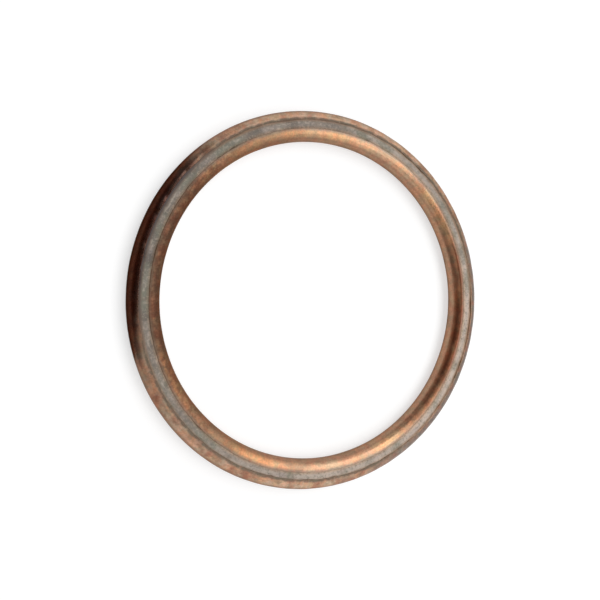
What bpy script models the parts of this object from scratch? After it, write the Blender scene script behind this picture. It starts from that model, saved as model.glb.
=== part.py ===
"""Jacketed ring gasket: a folded copper jacket closed round a compressed fibre filler.

The ring lies flat on its back with its axis on +Z and its slot facing up. The origin is
at the centre of the back face. Sizes are in metres.
"""

import math
import random

import bmesh
import bpy
from mathutils import Matrix

for old in list(bpy.data.objects):
    bpy.data.objects.remove(old)

BORE_DIAMETER = 0.0380
SECTION_WIDTH = 0.0035
THICKNESS = 0.0026

# The sheet, the outside radii of its folds, and the slot that its two lips leave open.
SHEET = 0.00035
BORE_FOLD = 0.0012
RIM_FOLD = 0.0011
SLOT_WIDTH = 0.00103
SLOT_SHIFT = 0.00003
LEAST_LAND = 0.00005

# The rim lip is gathered inwards as it closes, so it puckers. The bore lip stays smooth.
PUCKERS = 48
PUCKER_DEPTH = 0.00014
PUCKER_WIDTH = 0.0007
PUCKER_PULL = 0.00006
PUCKER_STRAY = 0.0004
PUCKER_SEED = 11
SHOULDER_SHARE = 0.15

# The filler stands in the jacket, with its crown in the slot a little below the lips.
FILLER_CLEARANCE = 0.0001
CROWN_RECESS = 0.00006

SIDES = 2 * PUCKERS
FOLD_STEPS = 4
BACK_FOLD_STEPS = 3
LINING_STEPS = 2
TINY = 1e-6

BORE_RADIUS = BORE_DIAMETER / 2
RIM_RADIUS = BORE_RADIUS + SECTION_WIDTH
SLOT_MIDDLE = BORE_RADIUS + SECTION_WIDTH / 2 + SLOT_SHIFT
BORE_LIP_EDGE = SLOT_MIDDLE - SLOT_WIDTH / 2
RIM_LIP_EDGE = SLOT_MIDDLE + SLOT_WIDTH / 2


def fitted_fold(radius, lip_reach):
    """A fold's outside radius, limited by the section's height under a pucker and by its lip."""
    return min(radius, (THICKNESS - PUCKER_DEPTH) / 2, lip_reach - LEAST_LAND)


BORE_FOLD_FITTED = fitted_fold(BORE_FOLD, BORE_LIP_EDGE - BORE_RADIUS)
RIM_FOLD_FITTED = fitted_fold(RIM_FOLD, RIM_RADIUS - RIM_LIP_EDGE)


def material(name, colour, roughness, metallic):
    made = bpy.data.materials.new(name)
    made.use_nodes = True
    shader = made.node_tree.nodes["Principled BSDF"]
    shader.inputs["Base Color"].default_value = (*colour, 1.0)
    shader.inputs["Roughness"].default_value = roughness
    shader.inputs["Metallic"].default_value = metallic
    return made


def arc(centre_r, centre_z, radius, start, end, steps):
    """Points of an arc in the section plane, as (distance from the axis, height)."""
    angles = [math.radians(start + (end - start) * i / steps) for i in range(steps + 1)]
    return [(centre_r + radius * math.cos(a), centre_z + radius * math.sin(a)) for a in angles]


def wrap(inset, top_steps, back_steps, drop=0.0):
    """The jacket's outline from the bore side's top round to the rim side's.

    It lies inside the jacket's outside by inset, with its top lower by drop.
    """
    bore_fold = BORE_FOLD_FITTED - inset
    rim_fold = RIM_FOLD_FITTED - inset
    bore_r = BORE_RADIUS + BORE_FOLD_FITTED
    rim_r = RIM_RADIUS - RIM_FOLD_FITTED
    bore_top = THICKNESS - BORE_FOLD_FITTED - drop
    rim_top = THICKNESS - RIM_FOLD_FITTED - drop
    return (
        arc(bore_r, bore_top, bore_fold, 90, 180, top_steps)
        + arc(bore_r, BORE_FOLD_FITTED, bore_fold, 180, 270, back_steps)
        + arc(rim_r, RIM_FOLD_FITTED, rim_fold, 270, 360, back_steps)
        + arc(rim_r, rim_top, rim_fold, 0, 90, top_steps)
    )


def turned(name, section, finish, shape=None):
    """A ring: the closed section spun a full turn about Z, then reshaped if asked."""
    mesh = bmesh.new()
    points = [p for i, p in enumerate(section) if math.dist(p, section[i - 1]) > TINY]
    verts = [mesh.verts.new((r, 0.0, z)) for r, z in points]
    edges = [mesh.edges.new((v, verts[i - 1])) for i, v in enumerate(verts)]
    bmesh.ops.spin(
        mesh,
        geom=verts + edges,
        cent=(0, 0, 0),
        axis=(0, 0, 1),
        angle=math.tau,
        steps=SIDES,
        use_merge=True,
    )
    if shape:
        shape(mesh)
    bmesh.ops.recalc_face_normals(mesh, faces=mesh.faces)
    data = bpy.data.meshes.new(name)
    mesh.to_mesh(data)
    mesh.free()
    data.shade_smooth()
    data.set_sharp_from_angle(angle=math.radians(30))
    data.materials.append(finish)
    made = bpy.data.objects.new(name, data)
    bpy.context.scene.collection.objects.link(made)
    return made


def in_rim_lip(vert):
    """Whether a point is on the rim lip or on the fold that leads to it, inside or out."""
    return vert.co.xy.length > SLOT_MIDDLE and vert.co.z > THICKNESS - RIM_FOLD_FITTED + TINY


def pucker(vert, depth, lip_turn):
    """Pushes a point of the rim lip into the ring and back from the slot, and turns it about Z.

    All three fade to nothing down the fold.
    """
    fold_r = RIM_RADIUS - RIM_FOLD_FITTED
    out = max(vert.co.xy.length - fold_r, 0.0)
    up = vert.co.z - (THICKNESS - RIM_FOLD_FITTED)
    share = math.atan2(up, out) / (math.pi / 2)
    across = math.hypot(out, up)
    push = depth * share
    move_r = PUCKER_PULL / PUCKER_DEPTH * push - push * out / across
    vert.co += vert.co.xy.normalized().to_3d() * move_r
    vert.co.z -= push * up / across
    vert.co.rotate(Matrix.Rotation(lip_turn * share, 3, "Z"))


def gather(mesh):
    """Puckers the rim lip, with three columns of points to each crease and one between creases."""
    bmesh.ops.subdivide_edges(
        mesh,
        edges=[
            edge
            for edge in mesh.edges
            if all(in_rim_lip(vert) for vert in edge.verts)
            and abs(edge.verts[0].co.z - edge.verts[1].co.z) < TINY
            and abs(edge.verts[0].co.xy.length - edge.verts[1].co.xy.length) < TINY
        ],
        cuts=1,
        use_single_edge=True,
    )
    draw = random.Random(PUCKER_SEED)
    depths = [PUCKER_DEPTH * draw.uniform(0.5, 1.0) for _ in range(PUCKERS)]
    strays = [PUCKER_STRAY * draw.uniform(-1.0, 1.0) for _ in range(PUCKERS)]
    column_angle = math.tau / (2 * SIDES)
    chord_fall = math.cos(column_angle)
    for vert in [vert for vert in mesh.verts if in_rim_lip(vert)]:
        column = round(math.atan2(vert.co.y, vert.co.x) / column_angle)
        crease = round(column / 4)
        beside = column - 4 * crease
        index = crease % PUCKERS
        if beside in (-1, 1):
            vert.co.xy /= chord_fall
            shoulder_turn = beside * (PUCKER_WIDTH / 2 / RIM_LIP_EDGE - column_angle)
            pucker(vert, SHOULDER_SHARE * depths[index], strays[index] / RIM_LIP_EDGE + shoulder_turn)
        elif beside == 0:
            pucker(vert, depths[index], strays[index] / RIM_LIP_EDGE)


def copper_jacket():
    """One sheet folded to a C section: its outside, then back along its lining."""
    outside = wrap(0.0, FOLD_STEPS, BACK_FOLD_STEPS)
    lining = wrap(SHEET, LINING_STEPS, LINING_STEPS)
    outside = [(BORE_LIP_EDGE, THICKNESS), *outside, (RIM_LIP_EDGE, THICKNESS)]
    lining = [(BORE_LIP_EDGE, THICKNESS - SHEET), *lining, (RIM_LIP_EDGE, THICKNESS - SHEET)]
    finish = material("copper", (0.72, 0.40, 0.26), 0.35, 1.0)
    return turned("copper_jacket", outside + lining[::-1], finish, gather)


def filler_ring():
    """Compressed fibre that fills the jacket, with a crown that shows in the slot."""
    body = wrap(SHEET + FILLER_CLEARANCE, LINING_STEPS, LINING_STEPS, drop=PUCKER_DEPTH)
    shelf = THICKNESS - SHEET - PUCKER_DEPTH - FILLER_CLEARANCE
    crown_bore = BORE_LIP_EDGE + FILLER_CLEARANCE
    crown_rim = RIM_LIP_EDGE - FILLER_CLEARANCE
    crown_top = THICKNESS - CROWN_RECESS
    section = [(crown_bore, crown_top), (crown_bore, shelf), *body, (crown_rim, shelf), (crown_rim, crown_top)]
    finish = material("filler_fibre", (0.30, 0.29, 0.26), 0.9, 0.0)
    return turned("filler_ring", section, finish)


copper_jacket()
filler_ring()
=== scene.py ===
# %% [markdown]
# # A copper-jacketed ring gasket
#
# The object is a seal for a pipe flange: a thin copper sheet folded round a ring of grey
# compressed fibre. The sheet doesn't close. On the upper face its two lips stop short of each
# other, and the fibre shows between them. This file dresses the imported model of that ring. It
# reads its sizes from that model, makes the two pieces again as fine meshes, and then makes the
# finishes, the light and the camera.

import math
import random

import bmesh
import bpy
from mathutils import Matrix, Vector, noise


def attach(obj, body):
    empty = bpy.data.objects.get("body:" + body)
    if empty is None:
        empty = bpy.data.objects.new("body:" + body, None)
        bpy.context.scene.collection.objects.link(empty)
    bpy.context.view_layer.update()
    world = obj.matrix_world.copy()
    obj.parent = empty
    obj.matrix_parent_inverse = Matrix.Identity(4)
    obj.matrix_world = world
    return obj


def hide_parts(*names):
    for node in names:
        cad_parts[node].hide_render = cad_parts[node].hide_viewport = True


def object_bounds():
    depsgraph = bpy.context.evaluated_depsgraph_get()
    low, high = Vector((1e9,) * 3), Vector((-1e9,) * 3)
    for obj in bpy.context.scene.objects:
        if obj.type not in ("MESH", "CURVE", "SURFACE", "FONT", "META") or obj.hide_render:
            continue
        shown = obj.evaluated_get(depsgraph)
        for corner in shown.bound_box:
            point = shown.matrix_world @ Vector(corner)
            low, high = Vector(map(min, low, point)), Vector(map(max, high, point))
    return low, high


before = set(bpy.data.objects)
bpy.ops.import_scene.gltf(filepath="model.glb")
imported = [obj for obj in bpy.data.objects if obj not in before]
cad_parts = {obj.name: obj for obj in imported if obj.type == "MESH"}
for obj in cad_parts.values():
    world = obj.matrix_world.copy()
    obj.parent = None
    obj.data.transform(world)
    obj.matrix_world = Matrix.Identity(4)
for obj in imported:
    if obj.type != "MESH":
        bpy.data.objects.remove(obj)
cad_low, cad_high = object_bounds()
MM = 0.001
print("packed model, mm:", [round(side / MM, 2) for side in cad_high - cad_low])

# %% [markdown]
# ## Reading the sizes
#
# A ring is known by its section, so the sizes that matter are distances from the axis and
# heights. They could be typed in again here, but then a change to the model would leave this
# file behind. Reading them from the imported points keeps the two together: the bore is the
# smallest distance from the axis, the rim the largest, and the flat back shows where the folds
# begin.

# %% Read the section's sizes
HAIR = 0.004 * MM


def points_of(node):
    """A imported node's points as (distance from the axis, height, angle)."""
    found = [vert.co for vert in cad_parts[node].data.vertices]
    return [(p.xy.length, p.z, math.atan2(p.y, p.x)) for p in found]


def radii_at(points, height):
    """The distances from the axis of the points at a height."""
    return [r for r, z, _ in points if abs(z - height) < HAIR]


jacket_points = points_of("copper_jacket")
filler_points = points_of("filler_ring")
TOP = cad_high.z
BORE = min(r for r, _, _ in jacket_points)
RIM = max(r for r, _, _ in jacket_points)
back_radii = radii_at(jacket_points, 0.0)
BORE_FOLD = min(back_radii) - BORE
RIM_FOLD = RIM - max(back_radii)
CROWN_TOP = max(z for _, z, _ in filler_points)
CROWN_BORE = min(radii_at(filler_points, CROWN_TOP))
CROWN_RIM = max(radii_at(filler_points, CROWN_TOP))
SLOT_MIDDLE = (CROWN_BORE + CROWN_RIM) / 2
BORE_LIP = max(r for r in radii_at(jacket_points, TOP) if r < SLOT_MIDDLE)
RIM_LIP = min(r for r in radii_at(jacket_points, TOP) if r > SLOT_MIDDLE)
over_back = [z for r, z, _ in jacket_points if min(back_radii) - HAIR < r < max(back_radii) + HAIR]
SHEET = max(z for z in over_back if z < TOP / 2)
print("bore and rim radii, mm:", round(BORE / MM, 3), round(RIM / MM, 3))
print("fold radii, mm:", round(BORE_FOLD / MM, 3), round(RIM_FOLD / MM, 3))
print("lip edges, mm:", round(BORE_LIP / MM, 3), round(RIM_LIP / MM, 3))
print("crown's top, sheet, mm:", round(CROWN_TOP / MM, 3), round(SHEET / MM, 3))

# %% [markdown]
# The rim lip had to be gathered as it was folded inwards, since its edge got shorter, and the
# spare copper went into small creases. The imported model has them, so they are read too: a
# crease's bottom is a point of the lip's edge that lies lower than the top.

# %% Read where the rim lip is creased
LEAST_CREASE = 0.05 * MM
WIDEST_PULL = 0.08 * MM
creases = sorted(
    (angle, TOP - z)
    for r, z, angle in {(round(r, 6), round(z, 6), round(a, 4)) for r, z, a in jacket_points}
    if LEAST_CREASE < TOP - z < SHEET / 2 and RIM_LIP < r < RIM_LIP + WIDEST_PULL
)
print("creases in the rim lip:", len(creases))

# %% [markdown]
# ## The camera
#
# The photograph looks down on the face of the ring from a hand's width away, leaning a little to
# the left of its axis, so the left of the rim shows its flank and the right of the bore shows its
# wall. Such a camera can be placed by eye, but a ring's two outlines fix it well: the ellipses of
# rim and bore give the lean, and how far their centres lie apart gives the distance. The camera
# is turned a little past the ring, which sets the ring left or right and up or down in the
# picture.

# %% Place the camera
CAMERA_DISTANCE = 68.95 * MM
CAMERA_LEAN = math.radians(23.886)
CAMERA_ROLL = math.radians(1.979)
CAMERA_PAN = math.radians(1.626)
CAMERA_TILT = math.radians(0.058)
CAMERA_LENS = 33.73
CAMERA_SENSOR = 36.0

camera_data = bpy.data.cameras.new("camera")
camera_data.lens = CAMERA_LENS
camera_data.sensor_width = CAMERA_SENSOR
camera_data.clip_start = 1.0 * MM
camera_data.clip_end = 10.0
camera = bpy.data.objects.new("camera", camera_data)
bpy.context.scene.collection.objects.link(camera)
bpy.context.scene.camera = camera
lean = Matrix.Rotation(-CAMERA_LEAN, 3, "Y")
camera.location = lean @ Vector((0, 0, CAMERA_DISTANCE))
turn = lean @ Matrix.Rotation(CAMERA_ROLL, 3, "Z") @ Matrix.Rotation(CAMERA_PAN, 3, "Y")
camera.rotation_euler = (turn @ Matrix.Rotation(CAMERA_TILT, 3, "X")).to_euler()
print("camera at, mm:", [round(c / MM, 1) for c in camera.location])

# %% [markdown]
# ## Small helpers
#
# Both pieces are made in the same way. A few points give the section, their corners are rounded
# with a vertex bevel, and one spin about the axis makes the ring. A curve with a bevel object
# could make a ring too, but a spin keeps the points in rows, and the later steps move them by
# their angle and their place in the section.

# %% Helpers for a section
def section_wire(mesh, corners, closed):
    """Points joined by edges in the plane of the section, given as (distance, height)."""
    verts = [mesh.verts.new((r, 0.0, z)) for r, z in corners]
    ends = list(zip(verts, verts[1:]))
    if closed:
        ends.append((verts[-1], verts[0]))
    for pair in ends:
        mesh.edges.new(pair)
    return verts


def round_corners(mesh, verts, radius, segments):
    """Turns square corners of the section into arcs of a radius."""
    bmesh.ops.bevel(
        mesh,
        geom=verts,
        offset=radius,
        offset_type="OFFSET",
        segments=segments,
        profile=0.5,
        affect="VERTICES",
        material=-1,
    )


def divide_edges(mesh, longest, lowest):
    """Cuts each edge of the section above a height into parts no longer than a length."""
    for edge in list(mesh.edges):
        cuts = math.ceil(edge.calc_length() / longest) - 1
        if cuts > 0 and min(vert.co.z for vert in edge.verts) > lowest:
            bmesh.ops.subdivide_edges(mesh, edges=[edge], cuts=cuts)


# %% [markdown]
# One spin of a whole turn would do, but its time grows with the square of its steps. So the
# section is spun through one slice of the turn, and the slice is copied all round and joined.

# %% Helpers for a ring
SLICES = 24


def spin(mesh, angle, steps):
    """Spins a section about Z into a surface."""
    wire = mesh.verts[:] + mesh.edges[:]
    bmesh.ops.spin(mesh, geom=wire, cent=(0, 0, 0), axis=(0, 0, 1), angle=angle, steps=steps)


def spin_ring(mesh, columns):
    """Turns the section into a closed ring about Z with a number of columns of points."""
    spin(mesh, math.tau / SLICES, columns // SLICES)
    one_slice = mesh.verts[:] + mesh.edges[:] + mesh.faces[:]
    for number in range(1, SLICES):
        copied = bmesh.ops.duplicate(mesh, geom=one_slice)["geom"]
        bmesh.ops.rotate(
            mesh,
            verts=[item for item in copied if isinstance(item, bmesh.types.BMVert)],
            cent=(0, 0, 0),
            matrix=Matrix.Rotation(number * math.tau / SLICES, 3, "Z"),
        )
    bmesh.ops.remove_doubles(mesh, verts=mesh.verts, dist=HAIR / 4)
    bmesh.ops.recalc_face_normals(mesh, faces=mesh.faces)


def finished(name, mesh):
    """A smooth-shaded object of the mesh, in the scene."""
    data = bpy.data.meshes.new(name)
    mesh.to_mesh(data)
    mesh.free()
    data.shade_smooth()
    made = bpy.data.objects.new(name, data)
    bpy.context.scene.collection.objects.link(made)
    return made


# %% [markdown]
# ## The jacket
#
# On the real ring the jacket is one strip of copper, rolled round the filler until its two edges
# nearly meet on the upper face. A bent sheet is best modelled as a sheet: one open line for its
# outside, spun into a surface, then given its thickness inwards. A closed section would work too,
# but the wall would have to be offset by hand at every fold.

# %% Draw the jacket's outside
LIP_FOLD_SEGMENTS = 12
BACK_FOLD_SEGMENTS = 8
JACKET_STEP = 0.16 * MM

jacket_mesh = bmesh.new()
outline = section_wire(
    jacket_mesh,
    [(BORE_LIP, TOP), (BORE, TOP), (BORE, 0), (RIM, 0), (RIM, TOP), (RIM_LIP, TOP)],
    closed=False,
)
bore_top, bore_back, rim_back, rim_top = outline[1:5]
round_corners(jacket_mesh, [bore_top], BORE_FOLD, LIP_FOLD_SEGMENTS)
round_corners(jacket_mesh, [bore_back], BORE_FOLD, BACK_FOLD_SEGMENTS)
round_corners(jacket_mesh, [rim_back], RIM_FOLD, BACK_FOLD_SEGMENTS)
round_corners(jacket_mesh, [rim_top], RIM_FOLD, LIP_FOLD_SEGMENTS)
divide_edges(jacket_mesh, JACKET_STEP, lowest=SHEET)
print("points in the jacket's section:", len(jacket_mesh.verts))

# %% [markdown]
# The finish will need to know where on the sheet a point lies: dirt gathers at the cut edges, and
# the walls are more tarnished than the lips. So each point of the section is given its distance
# along the sheet from the nearer lip's edge, in millimetres, before the spin copies it all round.

# %% Note each point's distance from the lips' edges
to_edge = jacket_mesh.verts.layers.float.new("to_edge")


def walk(start):
    """The points of an open wire in order, with their distance along it from a starting point."""
    point, last, gone = start, None, 0.0
    while True:
        yield point, gone
        ahead = [edge for edge in point.link_edges if edge is not last]
        if not ahead:
            return
        last = ahead[0]
        gone += last.calc_length()
        point = last.other_vert(point)


wire_start = next(v for v in jacket_mesh.verts if len(v.link_edges) == 1 and v.co.x < SLOT_MIDDLE)
walked = list(walk(wire_start))
SHEET_LENGTH = walked[-1][1]
for point, gone in walked:
    point[to_edge] = min(gone, SHEET_LENGTH - gone) / MM
print("the sheet's width before folding, mm:", round(SHEET_LENGTH / MM, 2))

# %% Spin the jacket
COLUMNS = 720
spin_ring(jacket_mesh, COLUMNS)
print("faces in the jacket's outside:", len(jacket_mesh.faces))

# %% [markdown]
# ## The creases in the rim lip
#
# A crease is deepest at the lip's edge and fades to both sides of its middle. Moving points by a
# rule keeps every face, where cutting creases with a Boolean would leave ragged ones. The depth
# depends only on the angle, so it is worked out once for each column of points.

# %% Work out how deep the creases are
CREASE_SPREAD = 0.5 * MM
CREASE_SHOW = 0.5


def lip_depth(angle):
    """How deep the creases push the rim lip's edge at an angle."""
    depth = 0.0
    for crease_angle, crease_depth in creases:
        away = math.remainder(angle - crease_angle, math.tau) * RIM_LIP
        depth += CREASE_SHOW * crease_depth * math.exp(-((away / CREASE_SPREAD) ** 2))
    return depth


column_depths = [lip_depth(math.tau * column / COLUMNS) for column in range(COLUMNS)]
deepest = max(column_depths)
print("deepest crease, mm:", round(deepest / MM, 3))

# %% [markdown]
# The edges of the lips aren't true circles either. The rim lip was trimmed slightly oval and off
# centre, the bore lip only off centre, and both are rippled where the fibre pushed back.

# %% Work out how the lips' edges wander
RIM_LIP_OVAL = 0.1 * MM
RIM_LIP_OVAL_TURN = math.radians(165)
RIM_LIP_OFF = 0.079 * MM
RIM_LIP_OFF_TURN = math.radians(60)
RIM_LIP_REACH = 0.04 * MM
RIM_LIP_RIPPLE = 0.045 * MM
BORE_LIP_OFF = 0.035 * MM
BORE_LIP_OFF_TURN = math.radians(235)
BORE_LIP_RIPPLE = 0.035 * MM
DENT_SCALE = 0.45 / MM


def noisy(point, scale, low=0.0, high=1.0):
    """Smooth noise at a point, from low to high."""
    return low + (high - low) * (0.5 + 0.5 * noise.noise(point * scale))


def on_slot(angle):
    """The point of the slot's middle line at an angle, where the slow noises are read."""
    return Vector((math.cos(angle), math.sin(angle), 0)) * SLOT_MIDDLE


def rim_lip_shift(angle):
    """How far the rim lip's edge lies outside its circle."""
    ripple = noisy(on_slot(angle), DENT_SCALE, -RIM_LIP_RIPPLE, RIM_LIP_RIPPLE)
    oval = RIM_LIP_OVAL * math.cos(2 * (angle - RIM_LIP_OVAL_TURN))
    return oval + RIM_LIP_OFF * math.cos(angle - RIM_LIP_OFF_TURN) + ripple - RIM_LIP_REACH


def bore_lip_shift(angle):
    """How far the bore lip's edge lies outside its circle."""
    ripple = noisy(on_slot(angle), DENT_SCALE, -BORE_LIP_RIPPLE, BORE_LIP_RIPPLE)
    return BORE_LIP_OFF * math.cos(angle - BORE_LIP_OFF_TURN) + ripple


shifts = [rim_lip_shift(math.tau * column / COLUMNS) for column in range(COLUMNS)]
print("rim lip's edge off its circle, mm:", round(min(shifts) / MM, 2), "to", round(max(shifts) / MM, 2))

# %% [markdown]
# A crease pushes the lip into the ring, most at the edge and not at all at the foot of the fold,
# and pulls the edge back from the slot a little. All moves fade out towards the ring's outside, so
# it keeps its measured size. The depth of the crease is noted on each point too, because the
# finish is redder there.

# %% Shape the rim lip and the bore lip
CREASE_PULL = 0.2
LIP_SAG = 0.035 * MM
LIP_SAG_SCALE = 0.35 / MM
PUSH_POWER = 1.5
SLIDE_POWER = 3

crease_mark = jacket_mesh.verts.layers.float.new("crease")


def fold_share(out, up):
    """How far up a fold a point is: 0 at its foot on the wall, 1 on the lip."""
    return math.atan2(up, max(out, 0.0)) / (math.pi / 2)


for vert in jacket_mesh.verts:
    radial = vert.co.xy.normalized().to_3d()
    radius = vert.co.xy.length
    angle = math.atan2(vert.co.y, vert.co.x)
    sag = noisy(on_slot(angle), LIP_SAG_SCALE, 0.0, LIP_SAG)
    if radius > SLOT_MIDDLE and vert.co.z > TOP - RIM_FOLD:
        out = max(radius - (RIM - RIM_FOLD), 0.0)
        up = vert.co.z - (TOP - RIM_FOLD)
        share = fold_share(out, up)
        depth = column_depths[round(angle / math.tau * COLUMNS) % COLUMNS]
        push = share**PUSH_POWER * (depth + sag)
        slide = share**SLIDE_POWER * (CREASE_PULL * depth + rim_lip_shift(angle))
        across = math.hypot(out, up)
        vert.co += radial * (slide - push * out / across)
        vert.co.z -= push * up / across
        vert[crease_mark] = share * depth / deepest
    elif radius < SLOT_MIDDLE and vert.co.z > TOP - BORE_FOLD:
        share = fold_share((BORE + BORE_FOLD) - radius, vert.co.z - (TOP - BORE_FOLD))
        vert.co += radial * share**SLIDE_POWER * bore_lip_shift(angle)
        vert.co.z -= share**SLIDE_POWER * sag / 2
print("marked points:", sum(vert[crease_mark] > 0 for vert in jacket_mesh.verts))

# %% [markdown]
# The sheet is soft and has been handled, so it gets shallow dents, which the eye sees only in the
# way the highlights waver. Then it gets its thickness, inwards from the outside that was drawn,
# and the cut edges of the lips get a small bevel, because sheared copper has a rolled side and
# never a sharp corner.

# %% Dent the jacket and give it its wall
DENT_DEPTH = 0.018 * MM
EDGE_BEVEL = 0.09 * MM
CUT_EDGE_ANGLE = math.radians(55)

jacket_mesh.normal_update()
for vert in jacket_mesh.verts:
    if vert.co.z > SHEET:
        vert.co -= vert.normal * noisy(vert.co, DENT_SCALE, 0.0, DENT_DEPTH)
jacket = finished("jacket_sheet", jacket_mesh)
wall = jacket.modifiers.new("sheet", "SOLIDIFY")
wall.thickness = SHEET
wall.offset = -1.0
wall.use_even_offset = True
wall.use_rim = True
rolled = jacket.modifiers.new("rolled_edge", "BEVEL")
rolled.width = EDGE_BEVEL
rolled.segments = 2
rolled.limit_method = "ANGLE"
rolled.angle_limit = CUT_EDGE_ANGLE
print("the jacket's modifiers:", [modifier.name for modifier in jacket.modifiers])

# %% [markdown]
# ## The filler
#
# The filler is a moulded band of mineral fibre that fills the jacket, and only its crown shows.
# It is soft and dry, so its face is rough and its edges crumble, most where the creases of the
# rim lip press on it. A bump pattern alone would leave its edges clean, so the crown is made
# with many small faces whose points can be moved.

# %% Draw and spin the filler
FILLER_GAP = 0.05 * MM
CROWN_PRESS = 0.03 * MM
CROWN_STEP = 0.055 * MM
CROWN_EDGE = 0.02 * MM
CROWN_SEGMENTS = 3
BODY_CORNER = 0.7 * MM
BODY_SEGMENTS = 4
FILLER_COLUMNS = 1440

crown_bore = BORE_LIP - CROWN_PRESS
crown_rim = RIM_LIP + CROWN_PRESS
body_bore = BORE + SHEET + FILLER_GAP
body_rim = RIM - SHEET - FILLER_GAP
shelf = max(z for _, z, _ in filler_points if z < CROWN_TOP - SHEET / 2)
filler_mesh = bmesh.new()
section = section_wire(
    filler_mesh,
    [
        (crown_bore, CROWN_TOP),
        (crown_bore, shelf),
        (body_bore, shelf),
        (body_bore, SHEET + FILLER_GAP),
        (body_rim, SHEET + FILLER_GAP),
        (body_rim, shelf),
        (crown_rim, shelf),
        (crown_rim, CROWN_TOP),
    ],
    closed=True,
)
round_corners(filler_mesh, section[2:6], BODY_CORNER, BODY_SEGMENTS)
round_corners(filler_mesh, [section[0], section[-1]], CROWN_EDGE, CROWN_SEGMENTS)
divide_edges(filler_mesh, CROWN_STEP, lowest=shelf + HAIR)
print("points in the filler's section:", len(filler_mesh.verts))
spin_ring(filler_mesh, FILLER_COLUMNS)

# %% [markdown]
# The chips are drawn by lot with a fixed seed, so they are the same each time. Two in three lie
# at the rim lip. Each is noted for the columns of points that it reaches, which saves time.

# %% Draw the chips by lot
CHIPS = 46
CHIP_SEED = 5
CHIP_LENGTHS = (0.25 * MM, 0.9 * MM)
CHIP_DEPTHS = (0.04 * MM, 0.14 * MM)
CHIPS_AT_RIM = 0.65
CHIP_TAIL = 2

draw = random.Random(CHIP_SEED)
chips = [
    (
        draw.uniform(0, math.tau),
        draw.uniform(*CHIP_LENGTHS),
        draw.uniform(*CHIP_DEPTHS),
        crown_rim if draw.random() < CHIPS_AT_RIM else crown_bore,
    )
    for _ in range(CHIPS)
]
column_chips = [[] for _ in range(FILLER_COLUMNS)]
for chip_angle, chip_length, chip_depth, chip_radius in chips:
    middle = round(chip_angle / math.tau * FILLER_COLUMNS)
    half = math.ceil(CHIP_TAIL * chip_length / SLOT_MIDDLE / math.tau * FILLER_COLUMNS)
    for column in range(middle - half, middle + half + 1):
        away = (column / FILLER_COLUMNS * math.tau - chip_angle) * SLOT_MIDDLE
        depth = chip_depth * math.exp(-((away / chip_length) ** 2))
        column_chips[column % FILLER_COLUMNS].append((depth, chip_radius))
print("chips in the crown:", len(chips))

# %% [markdown]
# The crown sinks by the chips and by two noises, one as fine as the fibres and one of small
# lumps. It also follows the edges of the lips, so no gap opens beside it.

# %% Roughen and crumble the crown
FIBRE_DEPTH = 0.018 * MM
FIBRE_SCALE = 3.2 / MM
LUMP_DEPTH = 0.012 * MM
LUMP_SCALE = 0.8 / MM
CHIP_REACH = 0.22 * MM

for vert in filler_mesh.verts:
    if vert.co.z < shelf + HAIR:
        continue
    radius = vert.co.xy.length
    angle = math.atan2(vert.co.y, vert.co.x)
    sink = noisy(vert.co, FIBRE_SCALE, 0.0, FIBRE_DEPTH) + noisy(vert.co, LUMP_SCALE, 0.0, LUMP_DEPTH)
    for depth, chip_radius in column_chips[round(angle / math.tau * FILLER_COLUMNS) % FILLER_COLUMNS]:
        sink += depth * math.exp(-(((radius - chip_radius) / CHIP_REACH) ** 2))
    height_share = (vert.co.z - shelf) / (CROWN_TOP - shelf)
    rim_share = (radius - crown_bore) / (crown_rim - crown_bore)
    shift = rim_share * rim_lip_shift(angle) + (1 - rim_share) * bore_lip_shift(angle)
    vert.co += vert.co.xy.normalized().to_3d() * height_share * shift
    vert.co.z -= sink * height_share
filler = finished("filler_band", filler_mesh)
print("faces in the filler:", len(filler.data.polygons))

# %% [markdown]
# Each piece now takes the place of the imported piece that it was measured from.

# %% Put the pieces on the frame
for piece, node_name, slot_name in (
    (jacket, "copper_jacket", "jacket_copper"),
    (filler, "filler_ring", "filler_fibre"),
):
    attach(piece, "root")
    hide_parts(node_name)
    print(piece.name, "stands for", node_name)

# %% [markdown]
# ## Building materials in code
#
# Nodes placed by hand in the editor are hard to read back, so a few helpers add a node with its
# settings and link it. A value that is a socket gets linked, and any other value is typed in.

# %% Helpers for shader nodes
def fill(tree, node, values):
    """Fills a node's inputs, given as (name or number, value)."""
    for name, value in values:
        if isinstance(value, bpy.types.NodeSocket):
            tree.links.new(value, node.inputs[name])
        else:
            node.inputs[name].default_value = value


def set_inputs(tree, node, **values):
    """Fills a node's inputs by name, with underscores for the spaces in the names."""
    fill(tree, node, [(name.replace("_", " "), value) for name, value in values.items()])


def put(tree, kind, values=(), **settings):
    """Adds a node, sets its properties and fills its inputs."""
    made = tree.nodes.new(kind)
    for name, value in settings.items():
        setattr(made, name, value)
    fill(tree, made, values)
    return made


def new_material(name):
    """A material, its node tree and its shader."""
    made = bpy.data.materials.new(name)
    made.use_nodes = True
    return made, made.node_tree, made.node_tree.nodes["Principled BSDF"]


def add_bump(tree, shader, height, strength, depth):
    """Turns a pattern of heights into small bumps on the surface."""
    bump = put(tree, "ShaderNodeBump", [("Height", height), ("Strength", strength), ("Distance", depth)])
    set_inputs(tree, shader, Normal=bump.outputs["Normal"])


# %% [markdown]
# A Math node takes only two values at a time, so these helpers take any number of values and
# chain the nodes.

# %% Helpers for working with masks
def calculate(tree, operation, *values):
    """A Math node's result. More than two values are taken pair by pair."""
    result = values[0]
    for value in values[1:]:
        result = put(tree, "ShaderNodeMath", [(0, result), (1, value)], operation=operation).outputs[0]
    return result


def product(tree, *values):
    """Values multiplied."""
    return calculate(tree, "MULTIPLY", *values)


def total(tree, *values):
    """Values added up."""
    return calculate(tree, "ADD", *values)


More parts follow.
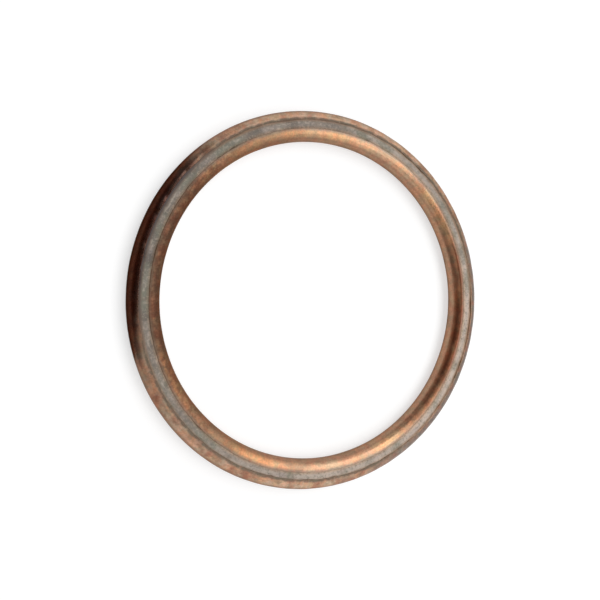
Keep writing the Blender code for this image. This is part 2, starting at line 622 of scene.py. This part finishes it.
def largest(tree, *values):
    """The largest of the values."""
    return calculate(tree, "MAXIMUM", *values)


def left_of(tree, share):
    """What a share leaves of 1."""
    return calculate(tree, "SUBTRACT", 1.0, share)


def ramp(tree, value, low, high, to_low=0.0, to_high=1.0, kind="SMOOTHSTEP"):
    """A value brought from the range low to high to another range, with soft ends."""
    return put(
        tree,
        "ShaderNodeMapRange",
        [("Value", value), ("From Min", low), ("From Max", high), ("To Min", to_low), ("To Max", to_high)],
        interpolation_type=kind,
    ).outputs["Result"]


def blend_colours(tree, share, first, second, how="MIX"):
    """Two colours mixed by a share. A colour is a socket, or red, green and blue."""
    values = [(0, share)]
    for number, colour in ((6, first), (7, second)):
        values.append((number, (*colour, 1.0) if isinstance(colour, tuple) else colour))
    return put(tree, "ShaderNodeMix", values, data_type="RGBA", blend_type=how).outputs[2]


# %% [markdown]
# ## Effects that both materials share
#
# Copper and fibre are different, but both are uneven in the same few ways: patches some
# millimetres wide, specks of dirt, fine streaks that run round the ring, and one side of the ring
# that is lighter or darker than the other, in places as painted reflection. Each is a node group
# with its own inputs, built once, so that its pattern stays the same kind of pattern wherever it is
# used. All read Object coordinates, in metres, so a scale is a number of patches to the metre.

# %% Helpers for node groups
FLOAT = "NodeSocketFloat"


def new_group(name, inputs, output):
    """A shader node group with named number inputs and one number output, and its two end nodes."""
    tree = bpy.data.node_groups.new(name, "ShaderNodeTree")
    for socket_name, value in inputs:
        socket = tree.interface.new_socket(socket_name, in_out="INPUT", socket_type=FLOAT)
        socket.default_value = value
    tree.interface.new_socket(output, in_out="OUTPUT", socket_type=FLOAT)
    return tree, tree.nodes.new("NodeGroupInput"), tree.nodes.new("NodeGroupOutput")


def use_group(tree, group, **values):
    """The output of a group in a tree, for values of its inputs."""
    used = put(tree, "ShaderNodeGroup", node_tree=group)
    set_inputs(tree, used, **values)
    return used.outputs[0]


def object_place(tree):
    """The point's place on the object."""
    return put(tree, "ShaderNodeTexCoord").outputs["Object"]


def from_axis(tree):
    """The point's distance from the ring's axis."""
    x, y, _ = put(tree, "ShaderNodeSeparateXYZ", [("Vector", object_place(tree))]).outputs
    square = total(tree, product(tree, x, x), product(tree, y, y))
    return put(tree, "ShaderNodeMath", [(0, square)], operation="SQRT").outputs[0]


def noise_at(tree, place, scale, detail=3.0, roughness=0.55, distortion=0.0):
    """Plain noise."""
    look = [("Detail", detail), ("Roughness", roughness), ("Distortion", distortion)]
    return put(tree, "ShaderNodeTexNoise", [("Vector", place), ("Scale", scale), *look]).outputs["Fac"]


# %% [markdown]
# Tarnish, dust and oil lie in patches. Noise with a soft threshold gives them, and moving the
# threshold makes them cover more or less of the surface. Dirt specks are round and far apart, so
# they come from the cells of a Voronoi pattern, of which only some are chosen.

# %% Patches and specks
def patches_group():
    """Soft-edged patches: a mask that is 1 inside them."""
    tree, given, result = new_group(
        "uneven_patches", [("Scale", 200.0), ("Cover", 0.5), ("Softness", 0.1)], "Mask"
    )
    pattern = noise_at(tree, object_place(tree), given.outputs["Scale"], detail=4.0, distortion=0.4)
    middle = left_of(tree, given.outputs["Cover"])
    low = calculate(tree, "SUBTRACT", middle, given.outputs["Softness"])
    high = total(tree, middle, given.outputs["Softness"])
    set_inputs(tree, result, Mask=ramp(tree, pattern, low, high))
    return tree


def specks_group():
    """Small round specks, thinly scattered: a mask that is 1 in them."""
    tree, given, result = new_group(
        "dirt_specks", [("Scale", 1500.0), ("Size", 0.25), ("Share", 0.3)], "Mask"
    )
    size = given.outputs["Size"]
    values = [("Vector", object_place(tree)), ("Scale", given.outputs["Scale"])]
    cells = put(tree, "ShaderNodeTexVoronoi", values).outputs
    lot = put(tree, "ShaderNodeSeparateColor", [("Color", cells["Color"])]).outputs[0]
    chosen = calculate(tree, "LESS_THAN", lot, given.outputs["Share"])
    disc = ramp(tree, cells["Distance"], product(tree, size, 0.4), size, 1.0, 0.0)
    set_inputs(tree, result, Mask=product(tree, disc, chosen))
    return tree


uneven_patches = patches_group()
dirt_specks = specks_group()
print("patterns:", uneven_patches.name, dirt_specks.name)

# %% [markdown]
# Streaks are noise that is stretched one way. To make them run round the ring, the noise is read
# at the distance from the axis and the height, which both stay the same round the ring, and only
# slowly at the place along it. That needs four numbers, so the noise is a 4D one. Which side of
# the ring a place is on comes from its distance along a direction, with a slow drift.

# %% Streaks and sides
def streaks_group():
    """Streaks that run round the ring, as rolling and handling leave them."""
    tree, given, result = new_group(
        "round_streaks", [("Across Scale", 4000.0), ("Along Scale", 150.0)], "Height"
    )
    across, along = given.outputs["Across Scale"], given.outputs["Along Scale"]
    x, y, z = put(tree, "ShaderNodeSeparateXYZ", [("Vector", object_place(tree))]).outputs
    parts = [product(tree, from_axis(tree), across), product(tree, z, across), product(tree, x, along)]
    place = put(tree, "ShaderNodeCombineXYZ", enumerate(parts)).outputs[0]
    values = [("Vector", place), ("W", product(tree, y, along)), ("Scale", 1.0), ("Detail", 3.0)]
    pattern = put(tree, "ShaderNodeTexNoise", values, noise_dimensions="4D")
    set_inputs(tree, result, Height=pattern.outputs["Fac"])
    return tree


def one_side_group():
    """How far a place lies to one side: 0 on the far side of the ring, 1 on the near one."""
    tree, given, result = new_group("one_side", [("Azimuth", 0.0), ("Wander", 4.0 * MM)], "Share")
    azimuth = given.outputs["Azimuth"]
    place = object_place(tree)
    x, y, _ = put(tree, "ShaderNodeSeparateXYZ", [("Vector", place)]).outputs
    east = put(tree, "ShaderNodeMath", [(0, azimuth)], operation="COSINE").outputs[0]
    north = put(tree, "ShaderNodeMath", [(0, azimuth)], operation="SINE").outputs[0]
    drift = ramp(tree, noise_at(tree, place, 160.0, detail=2.0), 0.3, 0.7, -1.0, 1.0, kind="LINEAR")
    wander = product(tree, drift, given.outputs["Wander"])
    moved = total(tree, product(tree, x, east), product(tree, y, north), wander)
    set_inputs(tree, result, Share=ramp(tree, moved, -RIM, RIM, kind="LINEAR"))
    return tree


round_streaks = streaks_group()
one_side = one_side_group()
print("patterns:", round_streaks.name, one_side.name)

# %% [markdown]
# ## The copper
#
# New copper is salmon pink. This ring has been handled: it is golden orange where it was rubbed,
# a dull brown where it wasn't, olive brown where dirt sits along the cut edges, and reddish in the
# creases. The left of the rim is painted nearly black and the right of the bore lip dark red, both
# as painted dark reflection of the dark left side, and the walls are painted darker as painted
# shade. The left of the bore lip is darker and matt, and grey grime covers the right of the rim.
# A single colour with more roughness would look like paint, so the tones are laid over each other
# by masks, and the same masks change the roughness. First come the masks that say where a point
# is, and two noises that break up every edge.

# %% Where on the copper
SLOT_BLEND = 0.2 * MM
MOTTLE_SCALE = 1500.0
GRAIN_SCALE = 5200.0

copper, tree, shader = new_material("worn_copper")
place = object_place(tree)
rim_side = ramp(tree, from_axis(tree), SLOT_MIDDLE - SLOT_BLEND, SLOT_MIDDLE + SLOT_BLEND)
bore_side = left_of(tree, rim_side)
edge_distance = put(tree, "ShaderNodeAttribute", attribute_name="to_edge").outputs["Fac"]
crease = put(tree, "ShaderNodeAttribute", attribute_name="crease").outputs["Fac"]
mottle = noise_at(tree, place, MOTTLE_SCALE, detail=4.0, roughness=0.6)
grain = noise_at(tree, place, GRAIN_SCALE, detail=2.0)
print("material:", copper.name)

# %% [markdown]
# The rim lip is duller and patchier than the bore lip, which was polished as it was rolled. The
# walls below the folds are painted darker and browner, as painted shade: they reflect the floor in
# the ring's shadow.

# %% The copper's plain tones
ORANGE_COPPER = (0.76, 0.42, 0.195)
DULL_COPPER = (0.50, 0.31, 0.20)
DUSTY_COPPER = (0.54, 0.40, 0.30)
BROWN_COPPER = (0.34, 0.20, 0.12)
SHADED_WALL_COPPER = (0.28, 0.155, 0.095)

dull_patches = use_group(tree, uneven_patches, Scale=190.0, Cover=0.5, Softness=0.14)
dullness = largest(tree, product(tree, dull_patches, 0.7), product(tree, rim_side, 0.75))
colour = blend_colours(tree, dullness, ORANGE_COPPER, DULL_COPPER)
dusty_patches = use_group(tree, uneven_patches, Scale=900.0, Cover=0.5, Softness=0.12)
dusty_share = product(tree, dusty_patches, ramp(tree, rim_side, 0.0, 1.0, 0.1, 0.6))
colour = blend_colours(tree, dusty_share, colour, DUSTY_COPPER)
brown_patches = use_group(tree, uneven_patches, Scale=620.0, Cover=0.42, Softness=0.08)
brown_share = product(tree, brown_patches, ramp(tree, rim_side, 0.0, 1.0, 0.13, 0.7))
colour = blend_colours(tree, brown_share, colour, BROWN_COPPER)
# Painted shade: the walls below the folds are painted darker.
wall_shade = ramp(tree, edge_distance, 0.75, 1.35, 0.0, 0.8)
colour = blend_colours(tree, wall_shade, colour, SHADED_WALL_COPPER)
print("nodes so far:", len(tree.nodes))

# %% [markdown]
# The left of the ring is darker, the rim more than the bore. On the rim this is painted dark
# reflection of the dark left side. It lies a little further round on the flank than on the lip, so
# two sides are blended there. On the bore lip the left is a darker brown in patches.

# %% The left: painted dark reflection on the rim, darker copper on the bore lip
BORE_DARK_AZIMUTH = math.radians(175)
RIM_DARK_REFLECTION_AZIMUTH = math.radians(161)
FLANK_DARK_REFLECTION_AZIMUTH = math.radians(167)
SIDE_WANDER = 1.5 * MM
DARKER_LEFT_COPPER = (0.23, 0.115, 0.07)

bore_dark_side = use_group(tree, one_side, Azimuth=BORE_DARK_AZIMUTH, Wander=SIDE_WANDER)
lip_dark_side = use_group(tree, one_side, Azimuth=RIM_DARK_REFLECTION_AZIMUTH, Wander=SIDE_WANDER)
flank_dark_side = use_group(tree, one_side, Azimuth=FLANK_DARK_REFLECTION_AZIMUTH, Wander=SIDE_WANDER)
on_flank = ramp(tree, edge_distance, 0.1, 0.9)
rim_dark_side = total(
    tree, product(tree, flank_dark_side, on_flank), product(tree, lip_dark_side, left_of(tree, on_flank))
)
bore_darkest = product(tree, ramp(tree, bore_dark_side, 0.76, 0.95), bore_side)
# Where the left of the rim is painted as dark reflection.
rim_dark_reflection = product(tree, ramp(tree, rim_dark_side, 0.865, 0.97), rim_side)
left_darkening = product(
    tree,
    ramp(tree, bore_dark_side, 0.55, 0.93),
    bore_side,
    ramp(tree, mottle, 0.38, 0.62, 0.3, 1.0),
    ramp(tree, edge_distance, 1.2, 1.9, 1.0, 0.3),
)
colour = blend_colours(tree, left_darkening, colour, DARKER_LEFT_COPPER)
print("nodes so far:", len(tree.nodes))

# %% [markdown]
# On the right, the bore lip and its wall are painted dark red, as painted dark reflection of the
# dark left side, and pale dust has settled along the bore lip's edge, where the fibre crumbles.

# %% Painted dark red reflection, and dust on the bore lip
RED_REFLECTION_AZIMUTH = math.radians(5)
GRIME_AND_REFLECTION_AZIMUTH = math.radians(338)
RED_REFLECTION = (0.12, 0.031, 0.013)
EDGE_DUST = (0.42, 0.32, 0.25)

red_reflection_side = use_group(tree, one_side, Azimuth=RED_REFLECTION_AZIMUTH, Wander=SIDE_WANDER)
grime_and_reflection_side = use_group(tree, one_side, Azimuth=GRIME_AND_REFLECTION_AZIMUTH, Wander=SIDE_WANDER)
lip_red_reflection = product(tree, ramp(tree, red_reflection_side, 0.78, 0.93, 0.0, 0.9), ramp(tree, edge_distance, 0.75, 0.4))
wall_red_reflection = product(tree, ramp(tree, grime_and_reflection_side, 0.84, 0.985, 0.0, 0.85), ramp(tree, edge_distance, 1.25, 0.85))
red_reflection_share = product(tree, largest(tree, lip_red_reflection, wall_red_reflection), bore_side)
# Painted dark reflection: the right of the bore lip and its wall are painted dark red.
colour = blend_colours(tree, red_reflection_share, colour, RED_REFLECTION)
edge_dust = product(
    tree,
    ramp(tree, edge_distance, 0.4, 0.05, 0.0, 0.65),
    bore_side,
    ramp(tree, red_reflection_share, 0.0, 0.9, 1.0, 0.7),
)
colour = blend_colours(tree, edge_dust, colour, EDGE_DUST)
print("nodes so far:", len(tree.nodes))

# %% [markdown]
# Red oxide shows in patches, more on the lower left, and in the creases, where nothing rubs it
# off. Grime lies over it on the right of the rim, and specks of dirt lie everywhere.

# %% Red oxide, grime and specks
RUDDY_AZIMUTH = math.radians(230)
RED_CREASE = (0.33, 0.135, 0.08)
GREY_GRIME = (0.18, 0.15, 0.13)
LEFT_DARK_BROWN = (0.16, 0.08, 0.05)

red_patches = use_group(tree, uneven_patches, Scale=430.0, Cover=0.42, Softness=0.07)
ruddy = ramp(tree, use_group(tree, one_side, Azimuth=RUDDY_AZIMUTH), 0.3, 0.9, 0.3, 1.0)
red_share = product(tree, red_patches, ramp(tree, rim_side, 0.0, 1.0, 0.35, 0.75), ruddy)
colour = blend_colours(tree, red_share, colour, RED_CREASE)
grime_share = product(
    tree, ramp(tree, grime_and_reflection_side, 0.72, 0.93, 0.0, 0.9), ramp(tree, edge_distance, 0.02, 0.3), rim_side
)
colour = blend_colours(tree, grime_share, colour, GREY_GRIME)
# The far left of the bore lip is made a darker brown in patches.
left_dark_brown = product(tree, bore_darkest, ramp(tree, mottle, 0.35, 0.6, 0.6, 0.95))
colour = blend_colours(tree, left_dark_brown, colour, LEFT_DARK_BROWN)
in_crease = ramp(tree, crease, 0.15, 0.75, 0.0, 0.65)
crease_share = product(tree, in_crease, ramp(tree, mottle, 0.35, 0.6, 0.3, 1.0))
colour = blend_colours(tree, crease_share, colour, RED_CREASE)
specks = use_group(tree, dirt_specks, Scale=1100.0, Size=0.3, Share=0.15)
colour = blend_colours(tree, product(tree, specks, 0.35), colour, BROWN_COPPER)
print("nodes so far:", len(tree.nodes))

# %% [markdown]
# Dirt from the fibre sits along the cut edges, as a thin even line and as wider patches, most on
# the rim lip. The painted dark reflection on the left of the rim covers it, so it is laid on last.

# %% Dirt along the cut edges, and the painted dark reflection
OLIVE_EDGE = (0.17, 0.12, 0.078)
DARK_REFLECTION_BLACK = (0.078, 0.042, 0.034)

even_dirt = product(
    tree, ramp(tree, edge_distance, 0.07, 0.4, 0.75, 0.0), ramp(tree, rim_side, 0.0, 1.0, 0.35, 1.0)
)
patchy_dirt = product(
    tree,
    ramp(tree, edge_distance, 0.1, 0.5, 1.0, 0.0),
    ramp(tree, rim_side, 0.0, 1.0, 0.15, 0.8),
    ramp(tree, mottle, 0.36, 0.6),
)
edge_dirt = product(
    tree,
    total(tree, even_dirt, patchy_dirt),
    left_of(tree, rim_dark_reflection),
    ramp(tree, grime_and_reflection_side, 0.8, 0.97, 1.0, 0.35),
)
colour = blend_colours(tree, edge_dirt, colour, OLIVE_EDGE)
# Painted dark reflection: the left of the rim is painted nearly black.
painted_dark_reflection = product(tree, rim_dark_reflection, ramp(tree, mottle, 0.35, 0.6, 0.86, 1.0))
colour = blend_colours(tree, painted_dark_reflection, colour, DARK_REFLECTION_BLACK)
print("nodes so far:", len(tree.nodes))

# %% [markdown]
# Small shifts of hue and tone over all of it keep the surface from looking printed. The rim is
# darker on its upper side and lighter on its lower one.

# %% Hue and tone
HUE_SCALE = 1000.0
REDDER = (1.09, 0.96, 0.95)
GREENER = (0.93, 1.015, 1.04)
LIGHTER_RIM_AZIMUTH = math.radians(275)

hue_noise = noise_at(tree, place, HUE_SCALE, detail=4.0, roughness=0.65)
hue_shift = blend_colours(tree, ramp(tree, hue_noise, 0.4, 0.6), REDDER, GREENER)
colour = blend_colours(tree, 1.0, colour, hue_shift, how="MULTIPLY")
lighter_rim_side = use_group(tree, one_side, Azimuth=LIGHTER_RIM_AZIMUTH)
rim_tone = product(tree, ramp(tree, lighter_rim_side, 0.0, 0.2, 0.85, 1.0), ramp(tree, lighter_rim_side, 0.75, 0.95, 1.0, 1.1))
tone = product(
    tree,
    ramp(tree, mottle, 0.36, 0.64, 0.88, 1.1),
    ramp(tree, grain, 0.38, 0.62, 0.9, 1.08),
    ramp(tree, rim_side, 0.0, 1.0, 1.0, rim_tone),
)
grey = put(tree, "ShaderNodeCombineColor", [("Red", tone), ("Green", tone), ("Blue", tone)]).outputs[0]
colour = blend_colours(tree, 1.0, colour, grey, how="MULTIPLY")
set_inputs(tree, shader, Base_Color=colour)
print("nodes so far:", len(tree.nodes))

# %% [markdown]
# Dirt and dust aren't metal, so their masks lower Metallic, and most masks make the surface
# rougher. The part of the rim painted as dark reflection alone is smoother than the copper round it.

# %% Roughness and metal
GRAZING_TINT = (0.42, 0.37, 0.33)
DIRT_SPECULAR = 0.2

dusty_rim = product(tree, rim_side, left_of(tree, largest(tree, bore_darkest, rim_dark_reflection)))
matt = product(tree, ramp(tree, bore_dark_side, 0.36, 0.82), bore_side)
rough = total(
    tree,
    ramp(tree, dusty_rim, 0.0, 1.0, 0.33, 0.42),
    product(tree, rim_dark_reflection, -0.12),
    product(tree, brown_patches, 0.08),
    product(tree, matt, 0.25),
    ramp(tree, mottle, 0.3, 0.7, -0.03, 0.05),
    product(tree, edge_dirt, 0.25),
)
metal = product(
    tree,
    ramp(tree, edge_dirt, 0.3, 1.0, 1.0, 0.35),
    ramp(tree, dusty_rim, 0.0, 1.0, 1.0, 0.68),
    ramp(tree, grime_share, 0.0, 0.9, 1.0, 0.08),
    ramp(tree, edge_dust, 0.0, 0.65, 1.0, 0.5),
)
set_inputs(tree, shader, Roughness=rough, Metallic=metal)
set_inputs(tree, shader, Specular_Tint=(*GRAZING_TINT, 1.0), Specular_IOR_Level=DIRT_SPECULAR)
print("nodes so far:", len(tree.nodes))

# %% [markdown]
# Where the lip is still polished, a thin clear film on the metal makes its highlights paler than
# the copper, and the Coat of the shader stands for it. Matt copper, the darker left of the bore lip
# and the parts painted as dark reflection have none.

# %% The clear film, and fine bumps
FILM_WEIGHT = 0.4
FILM_IOR = 1.75
FILM_ROUGHNESS = 0.34
COPPER_BUMP = 0.3
COPPER_BUMP_DEPTH = 0.02 * MM

clouded = largest(
    tree,
    ramp(tree, matt, 0.2, 1.0),
    red_reflection_share,
    bore_darkest,
    ramp(tree, edge_distance, 0.8, 1.3, 0.0, 0.5),
    rim_dark_reflection,
)
film = product(tree, left_of(tree, clouded), ramp(tree, rim_side, 0.0, 1.0, 1.0, 0.55), FILM_WEIGHT)
set_inputs(tree, shader, Coat_Weight=film, Coat_IOR=FILM_IOR, Coat_Roughness=FILM_ROUGHNESS)
streaks = use_group(tree, round_streaks, Across_Scale=5200.0, Along_Scale=420.0)
ripples = use_group(tree, round_streaks, Across_Scale=450.0, Along_Scale=2400.0)
lines = product(tree, total(tree, streaks, ripples), 0.5)
height = total(tree, lines, product(tree, grain, 0.35), product(tree, mottle, 0.9))
add_bump(tree, shader, height, COPPER_BUMP, COPPER_BUMP_DEPTH)
jacket.data.materials.append(copper)
print("nodes in the copper:", len(tree.nodes))

# %% [markdown]
# ## The fibre
#
# The filler is grey with touches of olive and rose. It is paler on the right and darker on the
# left. Its tone changes in small blotches, and it is flecked with darker and lighter fibres.

# %% The fibre's tones
PALE_SIDE_AZIMUTH = math.radians(330)
DARK_SIDE_FIBRE = (0.06, 0.053, 0.044)
PALE_SIDE_FIBRE = (0.56, 0.45, 0.375)
PALE_FIBRE = (0.56, 0.47, 0.39)
OLIVE_FIBRE = (0.185, 0.19, 0.14)
ROSY_FIBRE = (0.37, 0.30, 0.28)

fibre, tree, shader = new_material("compressed_fibre")
place = object_place(tree)
pale_side = use_group(tree, one_side, Azimuth=PALE_SIDE_AZIMUTH)
colour = blend_colours(tree, pale_side, DARK_SIDE_FIBRE, PALE_SIDE_FIBRE)
for scale, cover, softness, strength, tone in (
    (480.0, 0.5, 0.15, 0.35, PALE_FIBRE),
    (360.0, 0.45, 0.12, 0.8, OLIVE_FIBRE),
    (520.0, 0.38, 0.1, 0.4, ROSY_FIBRE),
):
    blotches = use_group(tree, uneven_patches, Scale=scale, Cover=cover, Softness=softness)
    colour = blend_colours(tree, product(tree, blotches, strength), colour, tone)
print("material:", fibre.name)

# %% Flecks and streaks in the fibre
FLECK_SCALE = 3800.0
DARK_FIBRE = (0.16, 0.14, 0.11)
RUBBED_FIBRE = (0.22, 0.155, 0.11)

flecks = noise_at(tree, place, FLECK_SCALE, detail=3.0, roughness=0.7)
colour = blend_colours(tree, ramp(tree, flecks, 0.5, 0.36, 0.0, 0.6), colour, DARK_FIBRE)
colour = blend_colours(tree, ramp(tree, flecks, 0.5, 0.66, 0.0, 0.3), colour, PALE_FIBRE)
streaks = use_group(tree, round_streaks, Across_Scale=3800.0, Along_Scale=900.0)
colour = blend_colours(tree, ramp(tree, streaks, 0.55, 0.7, 0.0, 0.35), colour, PALE_FIBRE)
brown_patches = use_group(tree, uneven_patches, Scale=750.0, Cover=0.4, Softness=0.1)
colour = blend_colours(tree, product(tree, brown_patches, 0.35), colour, RUBBED_FIBRE)
specks = use_group(tree, dirt_specks, Scale=1900.0, Size=0.28, Share=0.2)
colour = blend_colours(tree, product(tree, specks, 0.6), colour, DARK_FIBRE)
print("nodes so far:", len(tree.nodes))

# %% [markdown]
# Copper has rubbed off on the edges of the crown and warms their colour, most beside the rim lip,
# and the fibre is darker beside the part of that lip painted as dark reflection. These masks are
# bands along the two lips, so they come from the distance to the axis.

# %% Rubbed copper and a darker band beside the lips
RIM_RUB = 0.42 * MM
BORE_RUB = 0.12 * MM
WARM_REACH = (0.42 * MM, 0.05 * MM)
DARK_BAND_REACH = (0.45 * MM, 0.03 * MM)
WARMER = (1.05, 0.90, 0.76)
DARK_BAND_FIBRE = (0.07, 0.054, 0.05)

radius = from_axis(tree)
rim_rub = ramp(tree, radius, crown_rim - RIM_RUB, crown_rim, 0.0, 0.9)
bore_rub = ramp(tree, radius, crown_bore + BORE_RUB, crown_bore, 0.0, 0.35)
rub_patches = use_group(tree, uneven_patches, Scale=420.0, Cover=0.6, Softness=0.15)
rub = product(tree, largest(tree, rim_rub, bore_rub), rub_patches)
colour = blend_colours(tree, rub, colour, RUBBED_FIBRE)
from_rim = calculate(tree, "SUBTRACT", crown_rim, radius)
from_lip = calculate(tree, "MINIMUM", from_rim, calculate(tree, "SUBTRACT", radius, crown_bore))
colour = blend_colours(tree, ramp(tree, from_lip, *WARM_REACH), colour, WARMER, how="MULTIPLY")
dark_band_side = use_group(tree, one_side, Azimuth=RIM_DARK_REFLECTION_AZIMUTH, Wander=SIDE_WANDER)
dark_band = product(tree, ramp(tree, dark_band_side, 0.86, 0.97), ramp(tree, from_rim, *DARK_BAND_REACH))
colour = blend_colours(tree, dark_band, colour, DARK_BAND_FIBRE)
set_inputs(tree, shader, Base_Color=colour)
print("nodes so far:", len(tree.nodes))

# %% The fibre's roughness and bumps
FIBRE_BUMP = 0.6
FIBRE_BUMP_DEPTH = 0.03 * MM

set_inputs(tree, shader, Roughness=ramp(tree, flecks, 0.3, 0.7, 0.62, 0.78), Metallic=0.0)
height = total(tree, flecks, product(tree, streaks, 0.6))
add_bump(tree, shader, height, FIBRE_BUMP, FIBRE_BUMP_DEPTH)
filler.data.materials.append(fibre)
print("nodes in the fibre:", len(tree.nodes))

# %% [markdown]
# ## The floor and the light
#
# The ring lies on a plain white floor. The floor's material glows for the camera and for
# reflections, which makes the background white without putting more light on the ring, and the
# rest of its brightness near the ring is lamplight, so the ring's shadow still falls on it. The
# lamps don't reach far, so the glow rises with the distance and the floor stays white to its edge.

# %% Floor
FLOOR_HALF = 1.5
FLOOR_COLOUR = (0.48, 0.48, 0.48)
FLOOR_GLOW = 0.6
FLOOR_DROP = 0.01 * MM
LAMPLIT = 0.12
UNLIT = 0.6
WHITE = (1.0, 1.0, 1.0, 1.0)

floor_mesh = bmesh.new()
bmesh.ops.create_grid(floor_mesh, x_segments=1, y_segments=1, size=FLOOR_HALF)
bmesh.ops.translate(floor_mesh, verts=floor_mesh.verts, vec=(0, 0, -FLOOR_DROP))
floor = finished("floor", floor_mesh)

white_floor, tree, shader = new_material("white_floor")
set_inputs(tree, shader, Base_Color=(*FLOOR_COLOUR, 1.0), Roughness=1.0, Specular_IOR_Level=0.0)
rays = put(tree, "ShaderNodeLightPath").outputs
seen = largest(tree, rays["Is Camera Ray"], rays["Is Glossy Ray"], rays["Is Transmission Ray"])
away = put(tree, "ShaderNodeVectorMath", [(0, object_place(tree))], operation="LENGTH").outputs["Value"]
glow = product(tree, seen, ramp(tree, away, LAMPLIT, UNLIT, FLOOR_GLOW, 1.0))
set_inputs(tree, shader, Emission_Color=WHITE, Emission_Strength=glow)
floor.data.materials.append(white_floor)
print("floor, m:", 2 * FLOOR_HALF)

# %% [markdown]
# Past the floor's edge the camera sees the world, which is white for the camera too. For all
# other rays it is dim and only keeps the shadows from going black.

# %% World
WORLD_LEVEL = 0.2

world = bpy.data.worlds.new("studio")
bpy.context.scene.world = world
world.use_nodes = True
tree = world.node_tree
camera_ray = put(tree, "ShaderNodeLightPath").outputs["Is Camera Ray"]
level = ramp(tree, camera_ray, 0.0, 1.0, WORLD_LEVEL, 1.0, kind="LINEAR")
set_inputs(tree, tree.nodes["Background"], Color=WHITE, Strength=level)
print("world's level:", WORLD_LEVEL)

# %% [markdown]
# The metal shows its surroundings more than its own colour. In the photograph two round soft
# lights seem to stand high behind and in front of the ring, a little to the right, and two wide
# ones low behind and in front of it. A fill from above lights the fibre and isn't seen in the
# metal. The left side is dark, which blackens the left flank and the right of the bore lip.

# %% Lamps
def softbox(name, azimuth, elevation, distance, size, power, shows_in_metal=True):
    """A soft lamp that faces the ring, round or oval."""
    data = bpy.data.lights.new(name, "AREA")
    data.shape = "ELLIPSE"
    data.size, data.size_y = size
    data.energy = power
    lamp = bpy.data.objects.new(name, data)
    a, e = math.radians(azimuth), math.radians(elevation)
    towards = Vector((math.cos(e) * math.cos(a), math.cos(e) * math.sin(a), math.sin(e)))
    lamp.location = towards * distance
    lamp.rotation_euler = towards.to_track_quat("Z", "Y").to_euler()
    lamp.visible_camera = False
    lamp.visible_glossy = shows_in_metal
    bpy.context.scene.collection.objects.link(lamp)
    print(f"{name}: {power} W at azimuth {azimuth}, elevation {elevation}")


softbox("back_light", azimuth=49, elevation=58, distance=0.5, size=(0.42, 0.42), power=1.0)
softbox("front_light", azimuth=318, elevation=64, distance=0.5, size=(0.42, 0.42), power=0.8)
softbox("back_window", azimuth=71, elevation=16, distance=0.6, size=(0.85, 0.5), power=0.9)
softbox("front_window", azimuth=270, elevation=18, distance=0.6, size=(1.1, 0.55), power=1.32)
softbox("top_fill", azimuth=0, elevation=75, distance=0.6, size=(0.5, 0.5), power=0.45, shows_in_metal=False)

# %% [markdown]
# A studio darkens one side of a shiny object with a card that the metal reflects. This one curves
# up on the left and ends in a flat hood over the ring. It is seen in reflections alone: it casts
# no shadow and takes no light from the floor. A black card would leave the copper colourless, so
# it is a deep brown, and paler at its foot.

# %% Dark card
CARD_SECTION = [
    (23.0, 0.1), (40.0, 1.0), (110.0, 8.0), (160.0, 60.0), (150.0, 130.0), (90.0, 185.0), (0.0, 205.0)
]
CARD_MIDDLE = math.radians(164)
CARD_HALF = math.radians(34)
CARD_STEPS = 24
HOOD_RADIUS = 75.0 * MM
HOOD_HEIGHT = 200.0 * MM
HOOD_SHIFT = -10.0 * MM
HOOD_SIDES = 48

card_mesh = bmesh.new()
section_wire(card_mesh, [(r * MM, z * MM) for r, z in CARD_SECTION], closed=False)
card_start = Matrix.Rotation(CARD_MIDDLE - CARD_HALF, 3, "Z")
bmesh.ops.rotate(card_mesh, verts=card_mesh.verts, matrix=card_start)
spin(card_mesh, 2 * CARD_HALF, CARD_STEPS)
card = finished("dark_card", card_mesh)
hood_mesh = bmesh.new()
bmesh.ops.create_circle(hood_mesh, cap_ends=True, segments=HOOD_SIDES, radius=HOOD_RADIUS)
bmesh.ops.translate(hood_mesh, verts=hood_mesh.verts, vec=(HOOD_SHIFT, 0, HOOD_HEIGHT))
hood = finished("dark_hood", hood_mesh)
print("card and hood, faces:", len(card.data.polygons), len(hood.data.polygons))

# %% The card's brown
CARD_FOOT = (0.55, 0.34, 0.25)
CARD_BROWN = (0.25, 0.10, 0.06)
FOOT_HEIGHTS = (20 * MM, 100 * MM)

card_brown, tree, shader = new_material("card_brown")
card_z = put(tree, "ShaderNodeSeparateXYZ", [("Vector", object_place(tree))]).outputs[2]
card_colour = blend_colours(tree, ramp(tree, card_z, *FOOT_HEIGHTS), CARD_FOOT, CARD_BROWN)
set_inputs(tree, shader, Base_Color=card_colour, Roughness=1.0, Specular_IOR_Level=0.0)
for screen in (card, hood):
    screen.data.materials.append(card_brown)
    screen.visible_camera = False
    screen.visible_diffuse = False
    screen.visible_shadow = False
    screen.visible_transmission = False
print("material:", card_brown.name)

# %% [markdown]
# ## Last steps
#
# The colours are shown as they were worked out, without the tones of a film.

# %% Show the colours as worked out
bpy.context.scene.view_settings.view_transform = "Standard"
